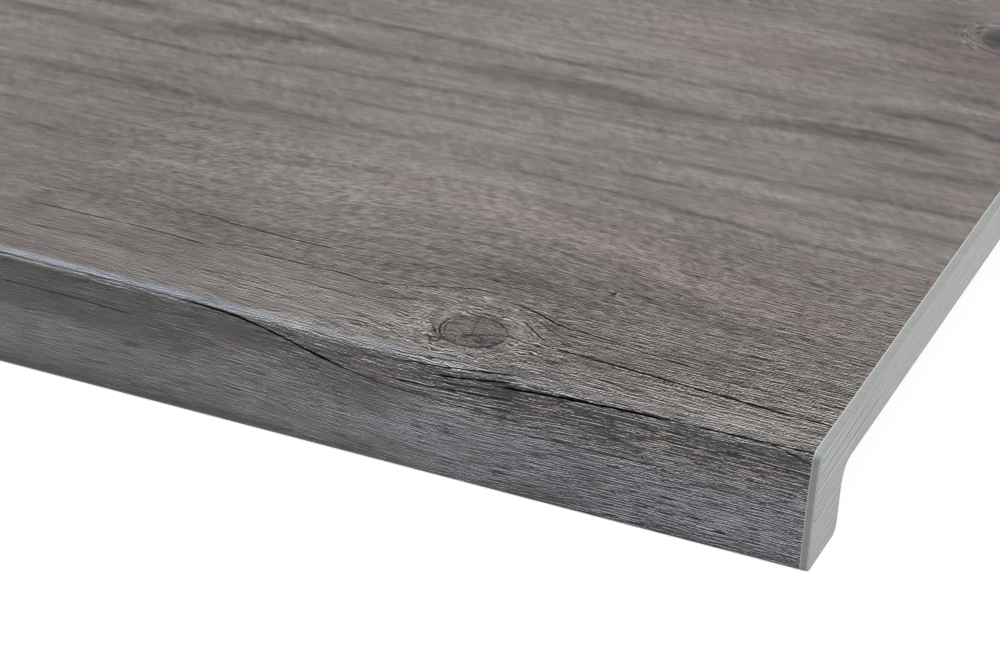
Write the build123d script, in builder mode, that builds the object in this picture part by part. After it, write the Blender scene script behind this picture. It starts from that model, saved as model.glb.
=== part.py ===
from build123d import *
import os

# Window sill board: one pressed board with its down-turned nosing, and a plastic band glued
# to each end. Millimetres. X runs along the length, Y from the nosing to the window, Z up.
# The origin is in the middle of the length and depth, level with the nosing's foot.

# Overall sizes
overall_length = 1000.0
overall_depth = 400.0
nosing_height = 40.0

# Section of the board
board_thickness = 17.0
nosing_depth = 28.0
front_crown = 0.6
nose_radius = 4.0
front_foot_radius = 1.5
rear_foot_radius = 4.0
inner_fillet_radius = 6.0

# End bands
band_thickness = 3.0
band_arris_radius = 1.0

# Levels and places that follow from the sizes
board_length = overall_length - 2 * band_thickness
front = -overall_depth / 2
rear = overall_depth / 2
front_corner = front + front_crown
nosing_back = front + nosing_depth
underside = nosing_height - board_thickness

front_foot = (front_corner, 0)
front_top = (front_corner, nosing_height)
rear_top = (rear, nosing_height)
rear_under = (rear, underside)
inner_corner = (nosing_back, underside)
rear_foot = (nosing_back, 0)


def at_corner(sketch, corner):
    """the outline's vertex at a corner given as (Y, Z)"""
    return sketch.vertices().sort_by_distance((corner[0], corner[1], 0))[0]


# Outline shared by the board and its bands: the crowned front runs from foot to top as one
# arc, and each corner is then rounded by its own radius
with BuildSketch() as section:
    with BuildLine():
        SagittaArc(front_foot, front_top, front_crown)
        Polyline(front_top, rear_top, rear_under, inner_corner, rear_foot, front_foot)
    make_face()
    fillet(at_corner(section, front_top), nose_radius)
    fillet(at_corner(section, front_foot), front_foot_radius)
    fillet(at_corner(section, rear_foot), rear_foot_radius)
    fillet(at_corner(section, inner_corner), inner_fillet_radius)

# Sill board with its nosing
with BuildPart() as sill_board:
    with BuildSketch(Plane.YZ.offset(-board_length / 2)):
        add(section.sketch)
    extrude(amount=board_length)

# Right end band, flush with the board all round, its outer edges milled round
with BuildPart() as end_band_right:
    with BuildSketch(Plane.YZ.offset(board_length / 2)):
        add(section.sketch)
    extrude(amount=band_thickness)
    outer_face = end_band_right.faces().sort_by(Axis.X)[-1]
    fillet(outer_face.edges(), band_arris_radius)

# Left end band, the right one's mirror image
with BuildPart() as end_band_left:
    mirror(end_band_right.part, about=Plane.YZ)

sill_board.part.label = "sill_board"
end_band_right.part.label = "end_band_right"
end_band_left.part.label = "end_band_left"

os.makedirs("parts", exist_ok=True)
export_step(sill_board.part, "parts/sill_board.step")
export_step(end_band_right.part, "parts/end_band_right.step")
export_step(end_band_left.part, "parts/end_band_left.step")
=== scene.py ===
import math
import bpy
import numpy as np
from mathutils import Matrix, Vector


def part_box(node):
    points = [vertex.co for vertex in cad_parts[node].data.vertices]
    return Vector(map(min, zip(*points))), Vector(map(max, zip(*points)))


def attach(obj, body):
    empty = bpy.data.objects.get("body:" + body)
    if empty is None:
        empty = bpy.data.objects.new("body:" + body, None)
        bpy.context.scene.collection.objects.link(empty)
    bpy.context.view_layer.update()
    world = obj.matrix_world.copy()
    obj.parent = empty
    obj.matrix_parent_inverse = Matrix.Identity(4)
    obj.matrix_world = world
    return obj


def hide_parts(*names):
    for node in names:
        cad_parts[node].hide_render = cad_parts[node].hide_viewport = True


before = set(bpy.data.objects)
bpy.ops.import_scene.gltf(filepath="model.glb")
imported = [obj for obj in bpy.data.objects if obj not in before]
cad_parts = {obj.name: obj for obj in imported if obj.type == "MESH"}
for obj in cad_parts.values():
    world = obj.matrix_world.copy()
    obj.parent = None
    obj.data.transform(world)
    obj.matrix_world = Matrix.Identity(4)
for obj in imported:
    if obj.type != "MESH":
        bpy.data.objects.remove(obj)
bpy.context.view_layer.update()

scene = bpy.context.scene
MM = 0.001

# Camera. It looks down on the board's right front corner from in front, slightly rolled, through
# a long lens, as the photograph does. The place is in the frame's millimetres, the turns are in
# degrees: azimuth from straight on, depth below the horizon, and roll about the line of sight.
camera_place = np.array([731.28, -1112.64, 550.79])
camera_azimuth = -20.107
camera_depth = 27.068
camera_roll = -4.419
lens_length = 131.575
sensor_width = 36.0
nearest_seen = 0.05

azimuth, depth, roll = np.radians([camera_azimuth, camera_depth, camera_roll])
forward = np.array([
    math.sin(azimuth) * math.cos(depth),
    math.cos(azimuth) * math.cos(depth),
    -math.sin(depth),
])
level_right = np.array([math.cos(azimuth), -math.sin(azimuth), 0.0])
level_down = np.cross(forward, level_right)
right = math.cos(roll) * level_right + math.sin(roll) * level_down
down = math.cos(roll) * level_down - math.sin(roll) * level_right
lens = bpy.data.cameras.new("camera")
lens.lens = lens_length
lens.sensor_width = sensor_width
lens.clip_start = nearest_seen
camera = bpy.data.objects.new("camera", lens)
turn = Matrix(np.column_stack([right, -down, -forward]).tolist()).to_4x4()
camera.matrix_world = Matrix.Translation(camera_place * MM) @ turn
scene.collection.objects.link(camera)
scene.camera = camera
scene.view_settings.view_transform = "Standard"

# Studio. A wide pale floor, a soft sky, one large softbox overhead on the left and a fill on the
# right. A cool window above the left of the board is seen only as its reflection along the nose.
# The floor is seen a little whiter than it lights, and it keeps the board's shadow.
sky_strength = 0.32
sky_tint = (0.93, 0.96, 1.0, 1.0)
softbox_tint = (0.95, 0.975, 1.0)
window_tint = (0.56, 0.75, 1.0)
floor_half = 6.0
floor_glow = 0.66
overhead = {"place": (-0.5, -0.4, 1.35), "aim": (-0.1, -0.25, 0.04), "size": (2.0, 1.1), "watts": 27.0}
window = {"place": (-0.55, -0.55, 1.35), "aim": (-0.2, -0.5, 0.04), "size": (2.9, 1.2), "watts": 58.0}
side_fill = {"place": (2.0, -0.1, 0.7), "aim": (0.45, -0.1, 0.03), "size": (0.9, 0.9), "watts": 15.0}

world = bpy.data.worlds.new("studio")
scene.world = world
world.use_nodes = True
sky = world.node_tree.nodes["Background"]
sky.inputs["Color"].default_value = sky_tint
sky.inputs["Strength"].default_value = sky_strength


def softbox(name, place, aim, size, watts, tint=softbox_tint):
    """a rectangular area lamp at place, facing aim"""
    lamp = bpy.data.lights.new(name, "AREA")
    lamp.shape = "RECTANGLE"
    lamp.size, lamp.size_y = size
    lamp.energy = watts
    lamp.color = tint
    holder = bpy.data.objects.new(name, lamp)
    stand = Matrix.Translation(place)
    sight = stand.to_translation() - Matrix.Translation(aim).to_translation()
    holder.matrix_world = stand @ sight.to_track_quat("Z", "Y").to_matrix().to_4x4()
    scene.collection.objects.link(holder)
    return holder


softbox("overhead_softbox", **overhead).visible_glossy = False
softbox("side_fill", **side_fill)
softbox("cool_window", **window, tint=window_tint).visible_diffuse = False


class Wire:
    """A value running between shader nodes. Arithmetic on it adds Math nodes."""

    def __init__(self, finish, socket):
        self.finish = finish
        self.socket = socket

    def maths(self, operation, *terms):
        return self.finish.node("Math", {"operation": operation}, dict(enumerate(terms)))

    def __add__(self, other):
        return self.maths("ADD", self, other)

    def __sub__(self, other):
        return self.maths("SUBTRACT", self, other)

    def __rsub__(self, other):
        return self.maths("SUBTRACT", other, self)

    def __mul__(self, other):
        return self.maths("MULTIPLY", self, other)

    def __truediv__(self, other):
        return self.maths("DIVIDE", self, other)

    def __pow__(self, other):
        return self.maths("POWER", self, other)

    def __abs__(self):
        return self.maths("ABSOLUTE", self)

    def most(self, other):
        return self.maths("MAXIMUM", self, other)

    def sine(self):
        return self.maths("SINE", self)

    def bell(self, half_width):
        """1 at zero, falling off over half_width on either side as exp(-(v / half_width)^2)"""
        share = self / half_width
        return self.maths("EXPONENT", share * share * -1.0)

    def step(self, start, end):
        """0 below start, 1 above end, a smooth step between; the other way round if end is lower"""
        ramp = {"interpolation_type": "SMOOTHSTEP"}
        low, high, first, last = (start, end, 0.0, 1.0) if start < end else (end, start, 1.0, 0.0)
        inputs = {"Value": self, "From Min": low, "From Max": high, "To Min": first, "To Max": last}
        return self.finish.node("MapRange", ramp, inputs)

    __radd__ = __add__
    __rmul__ = __mul__


class Finish:
    """A material being built. node() adds one shader node, with its settings set before its inputs,
    and returns one of its outputs. set() fills the surface's own sockets."""

    def __init__(self, name):
        self.material = bpy.data.materials.new(name)
        self.material.use_nodes = True
        self.tree = self.material.node_tree
        self.surface = self.tree.nodes["Principled BSDF"]

    def node(self, kind, settings=None, inputs=None, output=0):
        node = self.tree.nodes.new("ShaderNode" + kind)
        for name, value in (settings or {}).items():
            if name == "stops":
                while len(node.color_ramp.elements) < len(value):
                    node.color_ramp.elements.new(0.5)
                for element, (position, tint) in zip(node.color_ramp.elements, value):
                    element.position = position
                    element.color = tint
            else:
                setattr(node, name, value)
        for name, value in (inputs or {}).items():
            self.plug(value, node.inputs[name])
        return Wire(self, node.outputs[output])

    def plug(self, value, socket):
        if isinstance(value, Wire):
            self.tree.links.new(value.socket, socket)
        else:
            socket.default_value = value

    def set(self, **sockets):
        for name, value in sockets.items():
            self.plug(value, self.surface.inputs[name.replace("_", " ")])

    def parts(self, vector):
        return [self.node("SeparateXYZ", None, {"Vector": vector}, axis) for axis in range(3)]

    def attribute(self, name):
        """the three parts of one of the piece's own attributes"""
        return self.parts(self.node("Attribute", {"attribute_name": name}, None, 1))

    def place(self):
        """x, y and z on the piece, in metres"""
        return self.parts(self.node("TexCoord", None, None, "Object"))

    def noise(self, x, y, detail=0.0, roughness=0.5):
        """soft noise about zero, mostly within 0.3, over the plane (x, y)"""
        place = self.node("CombineXYZ", None, {0: x, 1: y})
        inputs = {"Vector": place, "Scale": 1.0, "Detail": detail, "Roughness": roughness}
        return self.node("TexNoise", {"noise_dimensions": "2D"}, inputs) - 0.5

    def ramp(self, value, stops):
        return self.node("ValToRGB", {"stops": stops}, {"Fac": value})

    def blend(self, factor, first, second, how="MIX"):
        """two colours mixed; the node's sockets for them are its inputs 6 and 7 and its output 2"""
        mixing = {"data_type": "RGBA", "blend_type": how}
        return self.node("Mix", mixing, {0: factor, 6: first, 7: second}, 2)


def colour(red, green, blue):
    """an sRGB colour, 0 to 255, as the linear colour that the shader takes"""
    share = np.array([red, green, blue]) / 255
    linear = np.where(share <= 0.04045, share / 12.92, ((share + 0.055) / 1.055) ** 2.4)
    return (*linear.tolist(), 1.0)


corners = floor_half * np.array([(-1, -1, 0), (1, -1, 0), (1, 1, 0), (-1, 1, 0)])
floor_mesh = bpy.data.meshes.new("floor")
floor_mesh.from_pydata(corners.tolist(), [], [(0, 1, 2, 3)])
floor = bpy.data.objects.new("floor", floor_mesh)
scene.collection.objects.link(floor)
paper = Finish("white_floor")
seen = paper.node("LightPath", None, None, "Is Camera Ray")
for kind_of_ray in ("Is Glossy Ray", "Is Transmission Ray"):
    seen = seen.most(paper.node("LightPath", None, None, kind_of_ray))
paper.set(
    Base_Color=colour(236, 236, 236),
    Roughness=0.9,
    Emission_Color=(1.0, 1.0, 1.0, 1.0),
    Emission_Strength=seen * floor_glow,
)
floor_mesh.materials.append(paper.material)

# Sill board. One pressed board, its wood decor sheet rolled over the top, the nose, the front and
# the foot of the nosing. The underside has a plain backing film, and the rear edge is cut square.
# Its section is swept along the board, and every pattern of the sheet is placed in millimetres.
board_low, board_high = (np.array(corner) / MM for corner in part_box("sill_board"))
board_thickness = 17.0
nosing_depth = 28.0
front_crown = 0.6
nose_radius = 4.0
front_foot_radius = 1.5
rear_foot_radius = 4.0
inner_fillet_radius = 6.0


def arc(centre, radius, start, end, steps, outward=1.0):
    """An arc's points and outward normals: centre + radius * (cos t, sin t), t from start to end in
    degrees. outward is -1 on a hollow arc. Returns rows Y, Z, normal Y, normal Z, way from the start."""
    turn = np.radians(np.linspace(start, end, steps + 1))
    away = np.stack([np.cos(turn), np.sin(turn)])
    spots = np.array(centre)[:, None] + radius * away
    travel = radius * np.abs(turn - turn[0])
    return np.vstack([spots, outward * away, travel])


def straight(first, last, normal, stations):
    """A straight run from first to last at the given shares of its length, with one normal. Returns
    rows as arc() does."""
    first, last = np.array(first), np.array(last)
    spots = first[:, None] + (last - first)[:, None] * stations
    normals = np.array(normal, float)[:, None] * np.ones_like(stations)
    travel = np.hypot(*(last - first)) * stations
    return np.vstack([spots, normals, travel])


def board_section(top_stations, face_steps, bend_steps, plain_steps):
    """The section's closed outline, from the rear top edge over the top, round the nose, down the
    crowned front, round the foot, up behind the nosing, along the underside and up the rear edge.
    Returns one row of (Y, Z, normal Y, normal Z, s) a point and the name of each point's run. s is
    the way along the sheet from where the nose's arc leaves the top: plus on the top."""
    height = board_high[2] - board_low[2]
    front, rear = board_low[1], board_high[1]
    under = height - board_thickness
    nosing_back = front + nosing_depth
    half = height / 2
    crown_radius = (half ** 2 + front_crown ** 2) / (2 * front_crown)
    crown_y = front + crown_radius

    def inside_crown(radius, level):
        return crown_y - math.sqrt((crown_radius - radius) ** 2 - (level - half) ** 2)

    nose_z = height - nose_radius
    nose_y = inside_crown(nose_radius, nose_z)
    foot_z = front_foot_radius
    foot_y = inside_crown(front_foot_radius, foot_z)
    top_turn = 180 - math.degrees(math.asin((nose_z - half) / (crown_radius - nose_radius)))
    foot_turn = 180 + math.degrees(math.asin((half - foot_z) / (crown_radius - front_foot_radius)))
    heel_y = nosing_back - rear_foot_radius
    hollow_y = nosing_back + inner_fillet_radius
    hollow_z = under - inner_fillet_radius
    evenly = np.linspace(0, 1, plain_steps + 1)
    runs = [
        ("top", straight((rear, height), (nose_y, height), (0, 1), top_stations)),
        ("nose", arc((nose_y, nose_z), nose_radius, 90, top_turn, bend_steps)),
        ("front", arc((crown_y, half), crown_radius, top_turn, foot_turn, face_steps)),
        ("foot", arc((foot_y, foot_z), front_foot_radius, foot_turn, 270, bend_steps)),
        ("foot", straight((foot_y, 0), (heel_y, 0), (0, -1), evenly)),
        ("foot", arc((heel_y, rear_foot_radius), rear_foot_radius, -90, 0, bend_steps)),
        ("back", straight((nosing_back, rear_foot_radius), (nosing_back, hollow_z), (1, 0), evenly)),
        ("back", arc((hollow_y, hollow_z), inner_fillet_radius, 180, 90, bend_steps, -1.0)),
        ("under", straight((hollow_y, under), (rear, under), (0, -1), evenly)),
        ("rear", straight((rear, under), (rear, height), (1, 0), evenly)),
    ]
    rows, names = [], []
    travel = rear - nose_y
    for name, run in runs:
        rows.append(np.vstack([run[:4], travel - run[4]])[:, :-1])
        names += [name] * (run.shape[1] - 1)
        travel -= run[4][-1]
    return np.hstack(rows).T, names


def smooth(share):
    """3t^2 - 2t^3, held at 0 and 1 outside"""
    share = np.clip(share, 0, 1)
    return share * share * (3 - 2 * share)


lattice_points = (97, 89)


def lattice_noise(along, across, length, width, seed):
    """Smooth noise from -1 to 1: random values on a lattice of length by width, blended between its
    points by 3t^2 - 2t^3. The lattice repeats after its points are used up."""
    values = np.random.default_rng(seed).uniform(-1, 1, lattice_points)
    a, b = along / length, across / width
    a0, b0 = np.floor(a).astype(int), np.floor(b).astype(int)
    fa, fb = smooth(a - a0), smooth(b - b0)
    a0, a1 = a0 % lattice_points[0], (a0 + 1) % lattice_points[0]
    b0, b1 = b0 % lattice_points[1], (b0 + 1) % lattice_points[1]
    near = values[a0, b0] * (1 - fa) + values[a1, b0] * fa
    far = values[a0, b1] * (1 - fa) + values[a1, b1] * fa
    return near * (1 - fb) + far * fb


# Knots of the decor: middle x and s, half-length, half-width, how far the grain opens round it, and
# which way round its check marks lie. The first two show in the photograph. The others are on the
# length that it cuts off. The shader reads the distance from a knot scaled, with its rim at knot_rim.
knot_rim = 10.9
far_away = 99.0
knots = [
    {"x": 380.0, "s": 18.8, "along": 10.5, "across": 10.5, "opens": 1.0, "facing": 1},
    {"x": 464.0, "s": 338.0, "along": 9.0, "across": 10.0, "opens": 0.7, "facing": 1},
    {"x": -88.0, "s": 236.0, "along": 9.0, "across": 8.5, "opens": 0.8, "facing": -1},
    {"x": -352.0, "s": 92.0, "along": 12.5, "across": 11.5, "opens": 1.0, "facing": 1},
]


def grain_level(x, s):
    """The level g of the grain line through a point. Lines of equal g run along the board, rise a
    little to the right towards the back, and open round each knot like a lens: g = s minus a share of
    the distance from the knot, which dies away as a bell along the board and across it. Behind a knot
    the lens is deeper, leans to the left and opens less."""
    level = s.copy()
    for knot in knots:
        away = s - knot["s"]
        behind_it = away > 0
        aside = x - knot["x"] + 0.23 * np.maximum(away, 0)
        length = np.where(aside < 0, 42.0, 32.0) + np.where(behind_it, 0.45, 0.28) * np.abs(away)
        width = np.where(behind_it, 98.0, 48.0)
        share = np.where(behind_it, 0.47, 0.62) * knot["opens"]
        level -= share * away * np.exp(-(aside / length) ** 2 - (away / width) ** 2)
    rise = -0.02 + 0.13 * smooth((s - 60) / 130)
    return level - rise * (x - knots[0]["x"])


# Splits and dark hair lines of the sheet: points (x, s) along each, half its width, how dark.
splits = [
    ([(222, 33), (245, 33.3), (258, 33.6), (270, 33.2), (282, 32.2)], 0.34, 0.6),
    ([(281, 34.2), (288, 35.6), (293, 38), (302, 40.2)], 0.32, 0.45),
    ([(298, 35), (318, 35.2), (330, 35.5), (336, 34.3), (341, 34.6), (346, 36.5), (352, 39),
      (358, 41.5), (366, 45), (371, 46.6), (379, 46.6)], 0.34, 0.7),
    ([(376, 47.2), (386, 46.0), (400, 43.4)], 0.36, 0.3),
    ([(383, 42.9), (388, 42), (392, 40.6), (396, 39), (400, 36.6), (407, 35)], 0.46, 0.85),
    ([(407.5, 36.2), (412, 35), (420, 33.8), (430, 32.2), (438, 30.9), (448, 30.2)], 0.34, 0.85),
    ([(391, 32.6), (395, 29.6), (398, 26.6), (402, 23.8)], 0.45, 0.8),
    ([(388, 39.4), (394, 36.0), (400, 31.6), (406, 28.4)], 0.3, 0.5),
    ([(392, 22.4), (400, 21.6), (409, 20.6)], 0.24, 0.4),
    ([(407, 20.8), (425, 19.5), (440, 18.6), (455, 17.5), (470, 16.6), (480, 15.4), (499, 15.0)],
     0.42, 1.1),
    ([(474, 16.6), (481, 16.2), (490, 15.9)], 0.3, 0.5),
    ([(266, 51.2), (276, 52), (281, 50.7), (291, 50.2), (305, 49.8), (319, 50.3)], 0.36, 0.65),
    ([(319, 53.6), (328, 55.4), (336, 56.4), (346, 57.6)], 0.36, 0.4),
    ([(228, 18.0), (243, 19.0), (252, 20.2)], 0.5, 0.3),
    ([(298, 12.9), (306, 12.8), (314, 12.2), (324, 11.2)], 0.3, 0.5),
    ([(315, 23.8), (330, 23.4), (341, 22.4)], 0.3, 0.4),
    ([(342, 12.8), (349, 10.6), (356, 8.2), (362, 4.4), (366, 1.4)], 0.36, 0.4),
    ([(330, 5.4), (338, 3.4), (344, 1.4)], 0.36, 0.3),
    ([(366.2, 18.0), (367.2, 16.2), (368.5, 14.7), (369.8, 13.2), (370.7, 11.0), (371.2, 10.0)],
     0.7, 0.75),
    ([(369.9, 13.2), (371.2, 11.6), (372.6, 10.2), (373.8, 8.8)], 0.6, 0.7),
    ([(454, -10.4), (468, -9.6), (482, -9.4), (499, -9.9)], 0.24, 0.6),
    ([(346, 26.6), (354, 29.6), (362, 32), (370, 34.8)], 0.36, 0.4),
    ([(425, 8.6), (434, 7.4), (442, 7.2)], 0.34, 0.6),
    ([(436, 4.6), (448, 3.6), (462, 2.8)], 0.32, 0.5),
    ([(180, -2.6), (205, -2.8), (225, -3.2), (280, -3.4), (291, -3.7)], 0.26, 0.5),
    ([(291, -3.7), (300, -4.1), (310, -4.6), (320, -6.3), (330, -8.8), (340, -11.3), (350, -13.5)],
     0.36, 1.0),
    ([(346, -12.7), (350, -13.5), (360, -15), (378, -15.9), (404, -16.2)], 0.28, 0.6),
    ([(370, -9.9), (384, -9.0), (401, -7.4)], 0.22, 0.7),
    ([(364, -12.3), (376, -11.7), (388, -10.9), (401, -9.8)], 0.27, 0.9),
    ([(374, -7.8), (384, -6.8), (392, -5.6), (401, -4.2)], 0.3, 1.0),
    ([(366, -5.4), (380, -4.4), (392, -2.8), (402, -1.4)], 0.26, 0.85),
    ([(368, -3.0), (384, -1.4), (396, 0.2)], 0.24, 0.7),
    ([(398, -6.2), (406, -5.6), (412, -5.1), (425, -4.3), (438, -3.8), (450.5, -3.5)], 0.38, 1.1),
    ([(448, -3.4), (465, -3.1), (480, -2.8), (499, -2.5)], 0.26, 0.9),
    ([(482, -2.6), (488, -3.6), (494, -5.4), (499, -6.4)], 0.24, 0.75),
    ([(405, -20), (425, -19.6), (452, -19)], 0.26, 0.5),
    ([(380, -14.2), (392, -14.0), (402, -13.6)], 0.24, 0.6),
    ([(228, -12.2), (250, -12.2), (275, -13)], 0.28, 0.45),
]


def along_line(points, x):
    """the s of a line of points (x, s) at x"""
    return np.interp(x, *np.array(points, float).T)


def between_ends(points, x, margin, fade):
    """1 along a line, and down to 0 over the fade, which stops a margin past each of its ends"""
    first, last = points[0][0], points[-1][0]
    return smooth((x - first + margin) / fade) * smooth((last + margin - x) / fade)


# How far to either side of a split and past its ends its channel is filled in, and the half-width
# that a channel holds where there is no split.
split_reach = 3.0
split_margin = 7.0
empty_width = 0.5


def split_channels(x, s):
    """Where the splits run, for the shader: channels of (signed distance across in mm, darkness,
    half-width in mm). The darkness fades out 2.6 mm away, and a split goes into the first channel
    that has no other within reach of it. Splits grow narrower towards their ends."""
    channels = []
    for points, half_width, dark in splits:
        first, last = points[0][0], points[-1][0]
        offset = s - along_line(points, x)
        near = (np.abs(offset) < split_reach) & (x > first - split_margin) & (x < last + split_margin)
        ends = between_ends(points, x, margin=3, fade=6)
        strength = dark * ends * (1 - smooth((np.abs(offset) - 1.4) / 1.2))
        width = half_width * (0.45 + 0.55 * ends)
        here = np.stack([np.clip(offset, -split_reach, split_reach), strength, width], -1)
        for channel, taken in channels:
            if not (taken & near).any():
                break
        else:
            channel, taken = np.zeros(s.shape + (3,)), np.zeros(s.shape, bool)
            channel[..., 0], channel[..., 2] = split_reach, empty_width
            channels.append((channel, taken))
        channel[near] = here[near]
        taken |= near
    return [channel for channel, taken in channels]


# Broad dark bands of the growth rings: points (x, s), half-width and depth of tone.
bands = [
    ([(205, 229.5), (260, 229.5), (300, 231.5), (330, 233), (350, 236), (370, 239), (400, 240),
      (424, 242)], 1.7, 0.14),
    ([(436, 248.5), (455, 251.5), (470, 250), (500, 243)], 2.6, 0.15),
    ([(404, 219), (425, 223.5), (445, 225.5), (462, 226), (478, 224)], 5.4, 0.15),
    ([(422, 228.5), (445, 230.5), (468, 231)], 1.4, 0.07),
    ([(298, 207), (315, 211.5), (338, 213), (362, 211), (378, 209)], 7.2, 0.13),
    ([(302, 213), (318, 219), (338, 221), (360, 217)], 1.3, 0.07),
    ([(306, 205), (318, 203.5), (332, 204)], 1.3, 0.05),
    ([(374, 209), (392, 213), (408, 214)], 4.4, 0.11),
    ([(178, 221), (200, 218.5), (222, 214.5), (240, 209), (256, 205)], 2.8, 0.11),
    ([(184, 184), (200, 189), (218, 194.5), (238, 197)], 7.4, 0.14),
    ([(198, 197), (222, 200.5), (244, 203), (258, 205), (278, 206.5), (300, 206)], 3.0, 0.085),
    ([(120, 176), (160, 179), (182, 182)], 3.2, 0.11),
    ([(160, 174.5), (190, 171.5), (210, 171.5), (228, 175), (250, 180), (275, 183), (300, 185)],
     1.7, 0.11),
    ([(298, 185), (330, 188), (360, 191), (390, 193.5), (414, 195.5)], 2.0, 0.09),
    ([(130, 146), (180, 150), (220, 154), (250, 158), (290, 161), (320, 164), (350, 168), (375, 170),
      (430, 173), (500, 180)], 1.5, 0.09),
    ([(150, 133), (200, 135), (240, 137), (262, 139), (300, 142), (340, 147), (380, 152), (440, 156),
      (500, 159)], 1.4, 0.09),
    ([(335, 137), (400, 136.5), (430, 133), (455, 131.5), (500, 132)], 1.5, 0.085),
    ([(438, 198), (460, 203), (480, 207), (500, 209)], 2.8, 0.12),
    ([(385, 267), (405, 269), (427, 270)], 1.8, 0.09),
    ([(452, 275.5), (470, 276.5), (487, 272)], 2.4, 0.13),
    ([(414, 316), (436, 316)], 3.2, 0.10),
    ([(430, 296), (452, 299), (480, 300)], 3.0, 0.09),
    ([(430, 352), (450, 350)], 12.0, 0.11),
    ([(300, 58), (320, 62), (340, 66), (355, 67.5), (370, 66), (385, 62), (400, 57), (420, 53)],
     4.0, 0.04),
    ([(404, 68), (430, 65), (460, 61), (500, 58)], 3.0, 0.07),
]


def band_tone(x, s):
    """the sum of the bands' tones, each flat-topped across its line and rounded off at its ends"""
    tone = np.zeros_like(s)
    ragged_s = s + 1.2 * lattice_noise(x, s, length=7.0, width=9.0, seed=31)
    for points, half_width, depth in bands:
        across = np.abs((ragged_s - along_line(points, x)) / half_width)
        tone -= depth * between_ends(points, x, margin=10, fade=25) * np.exp(-across ** 3)
    return tone


# Patches of tone and tint on the sheet: x, s, half-length, half-width, lighter, pink, blue.
patches = [
    (330.0, 12.0, 40.0, 18.0, 0.06, 0.0, 0.0),
    (359.0, 20.0, 10.0, 12.0, 0.06, 0.0, 0.0),
    (394.5, 24.0, 4.0, 8.0, 0.13, 0.2, 0.0),
    (468.0, 5.0, 38.0, 7.0, 0.13, 0.35, 0.0),
    (425.0, 7.0, 22.0, 5.0, -0.03, 0.0, 0.0),
    (425.0, -0.8, 22.0, 2.2, -0.08, 0.0, 0.0),
    (450.0, 22.0, 58.0, 34.0, 0.0, 0.9, 0.0),
    (444.0, 34.0, 42.0, 12.0, -0.075, 0.1, 0.0),
    # The next patch is a painted highlight: a pale strip along the top's edge above the nose on the
    # left.
    (295.0, 1.6, 62.0, 2.2, 0.05, 0.0, 0.0),
    (450.0, -11.0, 60.0, 6.0, -0.045, 0.0, 0.0),
    (425.0, -2.2, 20.0, 1.3, -0.09, 0.0, 0.0),
    (478.0, -3.4, 26.0, 1.0, -0.10, 0.0, 0.0),
    (425.0, -7.2, 26.0, 3.4, -0.045, 0.0, 0.0),
    (425.0, -5.8, 24.0, 1.2, -0.095, 0.0, 0.0),
    (480.0, -11.5, 22.0, 3.0, -0.03, 0.0, 0.0),
    (260.0, -38.0, 34.0, 2.5, 0.05, 0.0, 0.0),
    (340.0, 232.0, 130.0, 24.0, 0.055, 0.0, 0.0),
    (290.0, 90.0, 45.0, 30.0, 0.01, 0.0, 0.0),
    (425.0, 328.0, 16.0, 16.0, -0.04, 0.0, 0.0),
    (380.0, 30.0, 4.0, 2.6, -0.06, -0.6, 0.35),
    (376.0, 11.5, 1.2, 1.2, 0.07, 0.3, 0.0),
    (385.0, 58.0, 28.0, 10.0, -0.05, 0.1, 0.0),
    (384.0, 14.0, 8.0, 5.0, -0.05, 0.0, 0.0),
    (420.0, 95.0, 90.0, 28.0, -0.02, 0.8, 0.0),
    (370.0, 285.0, 40.0, 25.0, 0.01, 0.8, 0.0),
    (450.0, 312.0, 22.0, 18.0, -0.06, 1.3, 0.0),
    (464.0, 338.0, 8.0, 8.5, -0.28, -1.0, 1.2),
    (452.0, 340.0, 34.0, 18.0, -0.07, 0.0, 0.0),
    (432.0, 218.0, 20.0, 7.0, 0.0, 0.9, 0.0),
    (444.0, 261.0, 10.0, 2.2, 0.09, 0.0, 0.0),
    (466.0, 267.0, 9.0, 2.0, 0.09, 0.0, 0.0),
    (386.0, 249.0, 26.0, 2.4, 0.05, 0.0, 0.0),
    (375.0, 41.5, 2.2, 2.4, 0.14, 0.9, 0.0),
    (221.0, 35.0, 6.0, 5.0, -0.10, 1.0, 0.0),
    (192.0, 185.0, 9.0, 4.0, -0.06, -0.4, 0.3),
    (168.0, 202.0, 15.0, 6.0, -0.12, -0.4, 0.5),
    (465.0, 132.0, 16.0, 4.0, -0.02, 0.0, 0.5),
    (200.0, 120.0, 60.0, 60.0, -0.08, 0.0, 0.0),
    (401.0, -11.0, 3.0, 9.0, -0.20, 0.0, 0.2),
    (455.0, 180.0, 60.0, 22.0, -0.02, 0.0, 0.0),
    (478.0, -2.0, 20.0, 1.4, 0.05, 0.0, 0.0),
    (345.0, -21.5, 17.0, 4.5, -0.10, 0.0, 0.5),
    (366.0, -28.0, 26.0, 2.2, 0.06, 0.0, 0.2),
    (402.0, -20.5, 22.0, 2.2, 0.07, 0.0, 0.1),
]


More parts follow.
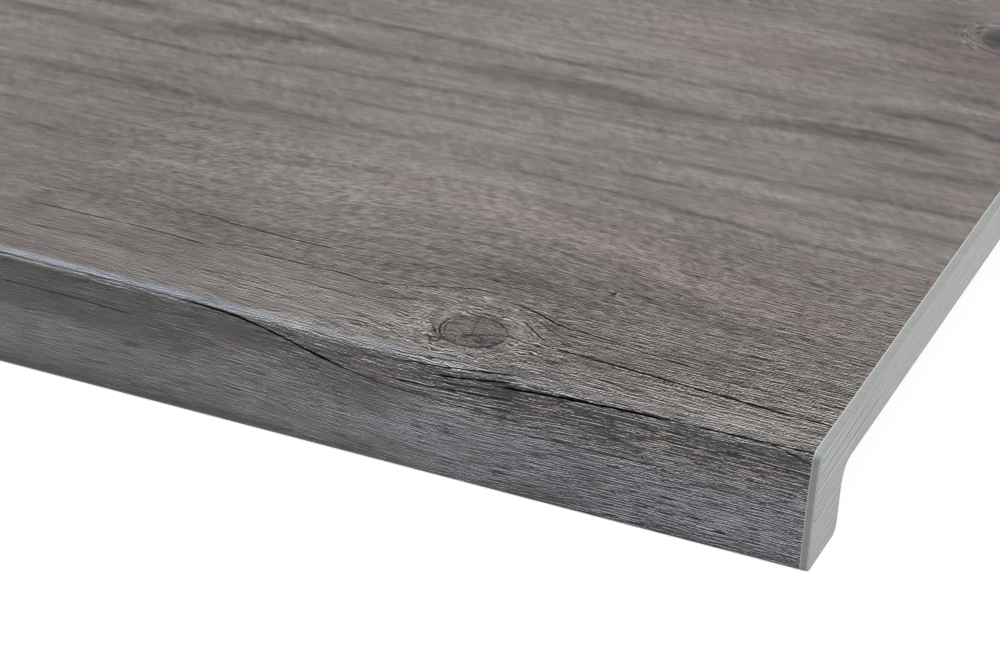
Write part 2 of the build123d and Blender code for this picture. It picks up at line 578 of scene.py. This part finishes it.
def sheet_tones(x, s, level):
    """Tone, pink and blue over the sheet, from the bands, the patches and soft noise along the grain.
    The front is scorched dark from just under the nose and recovers downwards. Over that, the front
    below the nose has a painted shade, deeper to the left, the lowest few millimetres and the foot a
    deeper painted shade, and the lower front a painted cool reflection that grows bluer towards the
    foot. Each smooth() here is a step: from where it starts, over how many millimetres."""
    tone = band_tone(x, s) + 0.07 * smooth((s - 30) / 90) - 0.02 * smooth((330 - x) / 60)
    tone -= 0.03 * smooth((s + 4) / 3)
    tone += 0.035 * lattice_noise(x, level, length=110.0, width=11.0, seed=11)
    tone += 0.03 * lattice_noise(x, level, length=60.0, width=5.0, seed=12)
    tone += 0.025 * lattice_noise(x, level, length=34.0, width=26.0, seed=13)
    pink = 0.3 + 0.55 * lattice_noise(x, level, length=60.0, width=14.0, seed=14)
    pink = pink * (1 - 0.7 * smooth((-4 - s) / 4))
    # Painted cool reflection on the lower front: a blue tint that grows towards the foot.
    blue = 1.1 * smooth((-12 - s) / 12)
    to_the_left = smooth((315 - x) / 30)
    edge = s + 2.5 * lattice_noise(x, s, length=24.0, width=30.0, seed=15)
    recovery = smooth((-8.5 - 4 * to_the_left - edge) / 13)
    scorch = smooth((-3.8 - 0.3 * to_the_left - s) / 1.6) * (1 - 0.75 * recovery)
    # The last two terms are a painted shade: darker over the lowest few millimetres of the front, and
    # much darker from just above the foot and round under it.
    tone -= 0.275 * scorch + 0.03 * smooth((-34 - s) / 5) + 0.1 * smooth((-38.4 - s) / 1.2)
    # Painted shade over the front below the nose, deeper to the left.
    tone -= (0.03 + 0.03 * smooth((320 - x) / 40)) * smooth((-3 - s) / 3)
    tone -= 0.022 * smooth((s - 190) / 40)
    for middle_x, middle_s, length, width, lighter, pinker, bluer in patches:
        swell = np.exp(-((x - middle_x) / length) ** 2 - ((s - middle_s) / width) ** 2)
        tone += lighter * swell
        pink += pinker * swell
        blue += bluer * swell
    return tone, np.clip(pink, 0, 1.6), np.clip(blue, 0, 1.2)


def knot_place(x, s):
    """the scaled distance from the nearest knot's middle, and the offsets from it along the board, in
    the direction that its check marks face, and across"""
    best = np.full(s.shape + (3,), far_away)
    for knot in knots:
        dx, ds = x - knot["x"], s - knot["s"]
        rho = knot_rim * np.hypot(dx / knot["along"], ds / knot["across"])
        closer = rho < best[..., 0]
        best[closer] = np.stack([rho, dx * knot["facing"], ds], -1)[closer]
    return best


# Small pits: x, s, half-length, half-width, how dark. A highlight is painted on the right side of
# each. The last three are on the length that the photograph cuts off.
pit_reach = 25.0
pits = [
    (409.0, 65.0, 0.8, 1.7, 0.8),
    (428.0, 73.0, 0.5, 1.4, 0.45),
    (435.0, 94.0, 0.9, 0.9, 0.0),
    (386.0, 167.0, 1.0, 1.2, 0.0),
    (-64.0, 142.0, 0.9, 1.0, 0.4),
    (-181.0, 58.0, 0.7, 1.6, 0.7),
    (-402.0, 210.0, 0.8, 1.2, 0.5),
]


def pit_place(x, s):
    """the offsets from the nearest pit's middle, in its half-lengths and half-widths, and its darkness;
    far_away where no pit is within reach"""
    best = np.full(s.shape + (3,), far_away)
    nearest = np.full(s.shape, pit_reach)
    for middle_x, middle_s, length, width, darkness in pits:
        dx, ds = x - middle_x, s - middle_s
        closer = np.hypot(dx, ds) < nearest
        best[closer] = np.stack([dx / length, ds / width, np.full_like(s, darkness)], -1)[closer]
        nearest = np.minimum(nearest, np.hypot(dx, ds))
    return best


# The board's grid: rows across the sheet, a millimetre apart near the nose and wider behind, and
# columns along the board.
flat_depth = 395.6
near_depth = 62.0
far_rows, near_rows, face_rows, bend_rows, plain_rows = 125, 62, 34, 6, 8
column_count = 351
top_far = np.linspace(flat_depth, near_depth, far_rows + 1)[:-1]
top_near = np.linspace(near_depth, 0, near_rows + 1)
top_stations = 1 - np.concatenate([top_far, top_near]) / flat_depth
section, run_names = board_section(top_stations, face_rows, bend_rows, plain_rows)
columns = np.linspace(board_low[0], board_high[0], column_count)
run_names = np.array(run_names)
X, S = np.meshgrid(columns, section[:, 4])
G = grain_level(X, S)

# The pressed waviness lies below the section, long along the grain, and dies out before the bands.
on_sheet = np.isin(run_names, ["top", "nose", "front"])[:, None]
off_bands = smooth((board_high[0] - 3 - np.abs(X)) / 8)
relief = 0.05 * (1 + lattice_noise(X, G, length=26.0, width=4.5, seed=21))
relief = relief + 0.03 * (1 + lattice_noise(X, G, length=12.0, width=2.6, seed=22))
relief = relief * off_bands * on_sheet
Y = section[:, 0][:, None] - section[:, 2][:, None] * relief
Z = section[:, 1][:, None] - section[:, 3][:, None] * relief
sharp_corner = math.radians(35)


def tube_mesh(name, grid):
    """A closed tube of quads from a grid of (rows round, columns along, 3), shut by one flat face at
    each end, all faces outwards for rows that run over the top from back to front."""
    rows, cols = grid.shape[:2]
    r, c = np.meshgrid(np.arange(rows), np.arange(cols - 1), indexing="ij")
    here, after = r * cols + c, (r + 1) % rows * cols + c
    quads = np.stack([here, after, after + 1, here + 1], -1).reshape(-1, 4)
    start_cap = (np.arange(rows)[::-1] * cols).tolist()
    end_cap = (np.arange(rows) * cols + cols - 1).tolist()
    mesh = bpy.data.meshes.new(name)
    mesh.from_pydata(grid.reshape(-1, 3).tolist(), [], quads.tolist() + [start_cap, end_cap])
    mesh.shade_smooth()
    mesh.set_sharp_from_angle(angle=sharp_corner)
    piece = bpy.data.objects.new(name, mesh)
    scene.collection.objects.link(piece)
    return piece


def add_vectors(piece, name, values):
    """an attribute of the piece, for its shader: one vector a point"""
    layer = piece.data.attributes.new(name, "FLOAT_VECTOR", "POINT")
    layer.data.foreach_set("vector", np.ascontiguousarray(values, np.float32).ravel())


board = tube_mesh("decor_board", np.stack([X, Y, Z], -1) * MM)
tone, pink, blue = sheet_tones(X, S, G)

# How crisp the sheet is: most near the front right corner, then less with the way from it, to the
# back and to the left, and crisp again on the length that the photograph cuts off.
behind = 0.36 * (450 - X) + 0.836 * np.maximum(S, 0) - 0.455 * np.minimum(S, 0)
crisp = 0.012 + 0.038 * smooth((150 - S) / 80) + 1.36 * np.exp(-(np.maximum(behind, 0) / 57) ** 1.3)
crisp *= 1 + 0.24 * smooth(-S / 5)
crisp = np.maximum(crisp, 0.55 * smooth((110 - X) / 120))

# The pressed pores run partly straight along the board and partly with the grain, closer together
# on the front. The nose and the front are matt near the corner.
follow = 0.15 + 0.5 * smooth((-3 - S) / 15)
press = (1 - follow) * S + follow * G + 1.1 * np.minimum(S, 0)
matt = smooth((X - 385) / 20) * smooth((7 - S) / 6)
add_vectors(board, "grain", np.stack([X, G, S], -1))
add_vectors(board, "pores", np.stack([press, crisp, matt], -1))
add_vectors(board, "pit", pit_place(X, S))
add_vectors(board, "tones", np.stack([tone, pink, blue], -1))
add_vectors(board, "knot", knot_place(X, S))
channels = split_channels(X, S)
for number, channel in enumerate(channels):
    add_vectors(board, f"split_{number}", channel)

# The decor sheet's finish: weathered grey wood, satin, with its pores pressed in along the board.
# What was worked out for each point of the mesh comes back here under the same names: x along the
# board, s across the sheet, g the grain's level, rho the scaled distance from a knot.
sheet_stops = [
    (0.0, colour(24, 20, 17)),
    (0.2, colour(63, 57, 52)),
    (0.35, colour(92, 84, 78)),
    (0.5, colour(122, 114, 107)),
    (0.65, colour(152, 143, 136)),
    (0.8, colour(180, 171, 162)),
    (1.0, colour(208, 200, 190)),
]
split_black = colour(17, 15, 14)
deep_black = colour(15, 13, 12)
pink_shift = (1.06, 0.98, 0.965, 1.0)
blue_shift = (0.885, 0.985, 1.15, 1.0)
bump_depth = 0.00012
bud_x, bud_s = 371.3, 8.6
decor = Finish("decor_sheet")
x, g, s = decor.attribute("grain")
tone, pink, blue = decor.attribute("tones")
rho, knot_x, knot_s = decor.attribute("knot")
press, crisp, matt = decor.attribute("pores")
pit_x, pit_s, pit_darkness = decor.attribute("pit")


def grain(along, level, length, width, shift=0.0, detail=0.0, roughness=0.5):
    """noise in marks about length by width, in millimetres; the shift sets it apart from others"""
    return decor.noise(along / length + shift, level / width, detail, roughness)


# Print: broad rings, streaks and hair lines along the wavering grain, a mottle, short flecks, and
# faint slanting saw marks from the middle of the top backwards.
back = s.step(80.0, 170.0)
wander = grain(x, g, length=16.0, width=7.0)
line_level = g + wander * 2.4
broad = grain(x, line_level, length=75.0, width=4.2, shift=31.0, detail=1.0)
streak = grain(x, line_level, length=26.0, width=1.9, shift=57.0, detail=1.0)
wide_streak = grain(x, line_level, length=26.0, width=3.4, shift=17.0)
mottle = grain(x + s.most(90.0) * 0.4, s, length=10.0, width=5.0, shift=11.0, detail=2.0)
hair = grain(x, line_level, length=55.0, width=3.2, shift=83.0, detail=1.0).bell(0.012)
hair = hair * grain(x, g, length=40.0, width=9.0, shift=5.0).step(0.06, 0.18)
ring = (line_level * 0.95 + broad * 9.0).sine() * s.step(42.0, 70.0)
flecks = decor.noise(x / 3.7 + 33.0, line_level / 1.6 - x * 0.09, 1.0, 0.6)
flecks = flecks * s.step(8.0, 50.0) * (0.2 + s.step(160.0, 90.0) * 0.8) * x.step(140.0, 260.0)
saw_marks = grain(x + s * 0.55, s, length=3.4, width=5.5, shift=19.0, detail=1.0)
saw_marks = saw_marks * s.step(50.0, 120.0) * decor.noise(x / 30.0 + 3.0, s / 17.0 + 7.0).step(-0.5, 0.3)

# Pressed texture: long fibres, threads and a slanting grit, with small pores and thin dashes sunk in
# it. Its light and shade are painted into the colour: the side that faces the window is painted
# lighter, as the relief less a part of the relief half a millimetre further back. Round a knot the
# texture wavers more.
patchy = crisp * (1.0 + grain(x, s, length=23.0, width=11.0, shift=41.0))
patchy = patchy * (1.0 - rho.step(17.0, 10.0) * 0.45)
top_s = s.most(0.0)
on_front = s.step(-3.0, -8.0)


def pressed(level):
    """the relief where the level across the board is the given one, and how much of it is pore"""
    fibre = grain(x, level, length=28.0, width=0.8, shift=13.0, detail=1.0, roughness=0.7)
    thread = grain(x, level, length=8.0, width=0.75, shift=47.0)
    grit = decor.noise(x / 0.8 + top_s * 0.55, level / 1.1 - x * 0.35)
    pore = grain(x, level, length=2.2, width=0.6, shift=29.0).step(0.1, 0.26)
    dash = grain(x, level, length=9.0, width=0.6, shift=71.0).step(0.07, 0.19)
    sunk = pore * 0.3 + dash
    raised = fibre * (1.15 + on_front * 0.2) + thread * (0.55 + on_front * 0.3)
    raised = raised + grit * (0.95 - on_front * 0.1)
    return raised - sunk * 0.48, sunk


waver = grain(x, s, length=6.0, width=3.6, shift=51.0, detail=1.0, roughness=0.6)
press = press + waver * (1.0 - on_front * 0.5) * (0.9 + rho.step(48.0, 14.0) * 2.2)
relief_height, sunk = pressed(press)
relief_light_and_shade = relief_height - pressed(press + 0.5)[0] * 0.8

# Knots: a thin double rim, a check, a dark pith with a streak beside it, specks and a bud, with
# curled, wavering lines round it. The half below the slant is a little darker.
inside = (rho + wander * 3.0).step(11.3, 10.3)
slant = knot_s - knot_x * 0.43
ring_wave = grain(knot_x, knot_s, length=3.6, width=3.6, shift=3.0, detail=2.0, roughness=0.6)
rim_strength = 0.55 + knot_s.step(-1.0, -9.0) * 0.45 + knot_x.step(-5.0, -10.0) * 0.35 + ring_wave * 2.2
rim = (rho + ring_wave * 1.3 - knot_rim).bell(0.36) * rim_strength
inner_rim = (rho + ring_wave - 9.4).bell(0.24) * knot_x.step(0.5, -5.0) * knot_s.step(-9.0, -4.0)
check = (knot_x + knot_s * 0.19 + 0.3 + ring_wave * 0.8).bell(0.22)
check = check * knot_s.step(-3.0, -1.5) * knot_s.step(9.5, 7.5)
streak_up = (slant + 2.1 + ring_wave * 1.6).bell(0.4) * knot_x.step(-1.0, 1.0) * knot_x.step(9.8, 7.0)
pith = ((knot_x + 1.0) ** 2.0 + (knot_s + 3.9) ** 2.0).step(3.0, 0.2) * (0.6 + ring_wave * 3.0)
bud = (((x - bud_x) ** 2.0 + (s - bud_s) ** 2.0) ** 0.5 + ring_wave - 1.5).bell(0.4)
specks = grain(knot_x, knot_s, length=0.7, width=1.3).step(0.1, 0.3) * inside * knot_s.step(0.0, -4.0)
marks = rim.most(inner_rim * 0.5).most(check * 0.35).most(streak_up * 0.55)
marks = marks.most(pith * 0.5).most(bud * 0.8).most(specks * 0.4) * crisp.step(-0.25, 0.6)
curl = grain(rho, knot_s, length=1.3, width=5.0, shift=9.0, detail=1.0)
curl = curl * rho.step(11.5, 14.0) * rho.step(27.0, 18.0) * knot_s.step(-21.0, -14.0)
shade = inside * (0.015 + slant.step(1.0, -4.0) * 0.04) - rho.bell(19.0) * 0.05 * (1.0 - inside)

# Splits, ragged and worn, with light lips, and pits with a painted highlight on the right of each.
ragged = grain(x, s, length=4.0, width=2.5, shift=23.0, detail=1.0)
worn = 1.0 + grain(x, s, length=9.0, width=6.0, shift=61.0, detail=1.0) * 1.1
lines, lips = None, None
for number in range(len(channels)):
    across, darkness, half_width = decor.attribute(f"split_{number}")
    off = abs(across + ragged * 0.45) / (half_width * worn)
    line = off.step(1.25, 0.75) * darkness
    lip = (off - 2.1).bell(0.7) * darkness
    lines = line if lines is None else lines.most(line)
    lips = lip if lips is None else lips.most(lip)
lines = lines * (1.0 + ragged * 0.8)
hollow = (pit_x ** 2.0 + pit_s ** 2.0).step(1.8, 0.2) * pit_darkness
painted_glint = (pit_x - 1.5).bell(0.5) * pit_s.bell(0.9)

# Everything above is added up to one lightness, calmer where the sheet is soft and near a knot. Under
# the nose near the corner the face is torn in dark dashes, with jagged tears below the knot.
soft = 0.45 + crisp * 0.35
calm = soft * (1.0 - inside * 0.5 - rho.step(30.0, 12.0) * 0.5)
streaks = broad * (0.2 - back * 0.05) + streak * crisp * 0.2 + wide_streak * (0.14 - back * 0.05)
# tone brings in the print's tone with the painted shade of the front and of the foot.
value = 0.492 - crisp * 0.05 + tone + streaks * calm + mottle * 0.14
value = value - hair * s.step(170.0, 110.0) * 0.16 + ring * 0.018 + flecks * 0.36 + saw_marks * 0.19
torn = matt * (s + 7.5).bell(5.0)
tears = grain(x + s * 0.12 + relief_height * 2.2, s, length=1.3, width=3.6, shift=27.0, detail=1.0)
tears = tears * (x - 401.0).bell(5.0) * (s + 12.0).bell(8.0)
# The pressed relief's painted light and shade goes into the lightness here.
value = value + (relief_light_and_shade * 0.84 - sunk * (0.1 + on_front * 0.12 + torn * 0.45)) * patchy + tears * 0.7
value = value + (on_front * 0.014 + torn * 0.02) * crisp
value = value + curl * 0.55 + lips * 0.06 + painted_glint * 0.25 - hollow * 0.16 - marks * 0.6 - shade
sheet_colour = decor.ramp(value, sheet_stops)
sheet_colour = decor.blend(pink * 0.7, sheet_colour, pink_shift, "MULTIPLY")
# blue brings the bluish print and the painted cool reflection of the lower front.
sheet_colour = decor.blend(blue, sheet_colour, blue_shift, "MULTIPLY")
sheet_colour = decor.blend(lines, sheet_colour, split_black)
height = relief_height * 1.5 * patchy
height = height + curl * 0.8 - lines * 1.6 - hollow * 1.5 - marks * 0.7
bump = decor.node("Bump", None, {"Strength": 0.7, "Distance": bump_depth, "Height": height})
decor.set(Base_Color=sheet_colour, Roughness=0.30 + matt * 0.22 + sunk * 0.1, Normal=bump)

# No light comes back out of a split or a pore, so there the sheet gives way to a black without sheen.
no_sheen = {"Base Color": deep_black, "Roughness": 1.0, "Specular IOR Level": 0.0}
black = decor.node("BsdfPrincipled", None, no_sheen)
shut = lines.most(sunk * 0.16 * patchy).most(hollow * 0.5).most(marks * 0.35)
whole = decor.node("MixShader", None, {0: shut, 1: Wire(decor, decor.surface.outputs[0]), 2: black})
decor.plug(whole, decor.tree.nodes["Material Output"].inputs["Surface"])
board.data.materials.append(decor.material)

# Backing film under the board, and the bare pressed-wood edge at the rear.
film_stops = [(0.0, colour(120, 112, 102)), (1.0, colour(172, 164, 152))]
film = Finish("backing_film")
film_x, film_y, film_z = film.place()
cloud = film.noise(film_x * 120.0, (film_y + film_z) * 400.0, 3.0)
film.set(Base_Color=film.ramp(0.5 + cloud, film_stops), Roughness=0.6)
board.data.materials.append(film.material)
chip_stops = [(0.3, colour(92, 66, 44)), (0.5, colour(150, 116, 82)), (0.7, colour(190, 160, 122))]
core = Finish("pressed_edge")
core_x, _, core_z = core.place()
chips = core.noise(core_x * 260.0, core_z * 700.0, 4.0, 0.65)
core.set(Base_Color=core.ramp(0.5 + chips, chip_stops), Roughness=0.8)
board.data.materials.append(core.material)
sheet_slot, film_slot, core_slot = range(3)
kinds = [np.isin(run_names, ["under", "back"]), run_names == "rear"]
slots = np.select(kinds, [film_slot, core_slot], sheet_slot)
face_slots = np.repeat(slots, len(columns) - 1).tolist() + [core_slot, core_slot]
board.data.polygons.foreach_set("material_index", face_slots)
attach(board, "root")
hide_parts("sill_board")

# End bands. Solid grey plastic, three millimetres thick, glued to each cut end, trimmed flush and
# milled round at the outer edge. Only the flat outer face has the printed wood stripes.
# The arris begins at arris_start, in millimetres from the middle of the board.
band_arris = 1.0
arris_start = 499.0
arris_steps = 6
print_stops = [(0.1, colour(100, 100, 101)), (0.5, colour(145, 144, 145)), (0.9, colour(174, 173, 174))]
dark_plastic, light_plastic = colour(150, 150, 146), colour(172, 172, 167)
joint_white = colour(206, 204, 196)
front_shade = (0.60, 0.60, 0.60, 1.0)
foot_shade = (0.55, 0.55, 0.55, 1.0)
band_plastic = Finish("end_band_plastic")
band_x, band_y, band_z = band_plastic.place()
y_mm, z_mm = band_y * 1000.0, band_z * 1000.0
past_start = abs(band_x) * 1000.0 - arris_start
speck = band_plastic.noise(band_y * 400.0, band_z * 400.0, 2.0, 0.7)

# The plain plastic, with the pale line at the joint, and a painted shade on the milled front and at the
# foot.
plain = band_plastic.blend(0.5 + speck * 1.2, dark_plastic, light_plastic)
plain = band_plastic.blend(past_start.step(-1.55, -1.75), plain, joint_white)
# Painted shade on the band's front-facing side, up to the arris.
shaded_front = y_mm.step(-197.0, -199.0) * past_start.step(0.4, -0.1)
plain = band_plastic.blend(shaded_front, plain, front_shade, "MULTIPLY")
# Painted shade on the band's lowest millimetre and a half, at the foot.
plain = band_plastic.blend(z_mm.step(1.6, 0.4), plain, foot_shade, "MULTIPLY")

# The printed wood lines rise a little towards the back. They are strongest on the nosing and at the
# elbow, where the board turns down into it.
face_level = z_mm - band_y * 40.0
stripe = band_plastic.noise(band_y * 60.0, face_level / 0.85, 1.0, 0.6)
thin = band_plastic.noise(band_y * 150.0 + 3.0, face_level / 0.5, 1.0, 0.6)
uneven = band_plastic.noise(band_y * 30.0 + 9.0, face_level / 9.0, 1.0)
bent = band_plastic.noise(band_y * 12.0, face_level / 3.0)
nosing = y_mm.step(-150.0, -172.0)
elbow = y_mm.step(-120.0, -165.0) * z_mm.step(9.0, 17.0)
dark_lines = (face_level * 3.5 + bent * 7.0).sine().step(-0.3, 1.0) * (0.8 + uneven * 1.8)
# The print is lighter on the nosing than further back: the face behind the nosing carries a painted
# shade.
print_and_painted_shade = 0.46 + nosing * 0.15 + stripe * 0.25 + thin * (0.1 + elbow * 0.15) + uneven * 0.15
print_and_painted_shade = print_and_painted_shade - dark_lines * (0.2 + nosing * 0.24 + elbow * 0.38)
printed = past_start.step(0.88, 0.995)
band_colour = band_plastic.blend(printed, plain, band_plastic.ramp(print_and_painted_shade, print_stops))
band_plastic.set(Base_Color=band_colour, Roughness=0.42 + speck * 0.15)

# The bands' outline is the board's, on a coarser grid. At the two square corners of the rear edge
# both faces' normals count, so that the arris keeps its width round them.
top_steps, front_steps, round_steps, plain_steps = 40, 16, 8, 4
band_section = board_section(np.linspace(0, 1, top_steps + 1), front_steps, round_steps, plain_steps)[0]
for square_corner in (0, len(band_section) - plain_steps):
    band_section[square_corner, 2:4] += band_section[square_corner - 1, 2:4]


def end_band(name, node, side):
    """The board's outline carried out from the joint, then turned over the arris: the outline moves in
    by radius * (1 - cos t) while x moves out by radius * sin t, and a flat face shuts the end."""
    low, high = (np.array(corner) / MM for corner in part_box(node))
    turn = np.radians(np.linspace(0, 90, arris_steps + 1))
    inset = np.append(0, band_arris * (1 - np.cos(turn)))
    joint, outer = (low[0], high[0]) if side > 0 else (high[0], low[0])
    out = np.append(joint, outer - side * band_arris * (1 - np.sin(turn)))
    y = band_section[:, 0][:, None] - band_section[:, 2][:, None] * inset
    z = band_section[:, 1][:, None] - band_section[:, 3][:, None] * inset
    grid = np.stack([np.broadcast_to(out, y.shape), y, z], -1)
    band = tube_mesh(name, (grid if side > 0 else grid[:, ::-1]) * MM)
    band.data.materials.append(band_plastic.material)
    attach(band, "root")
    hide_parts(node)


end_band("right_band", "end_band_right", 1)
end_band("left_band", "end_band_left", -1)
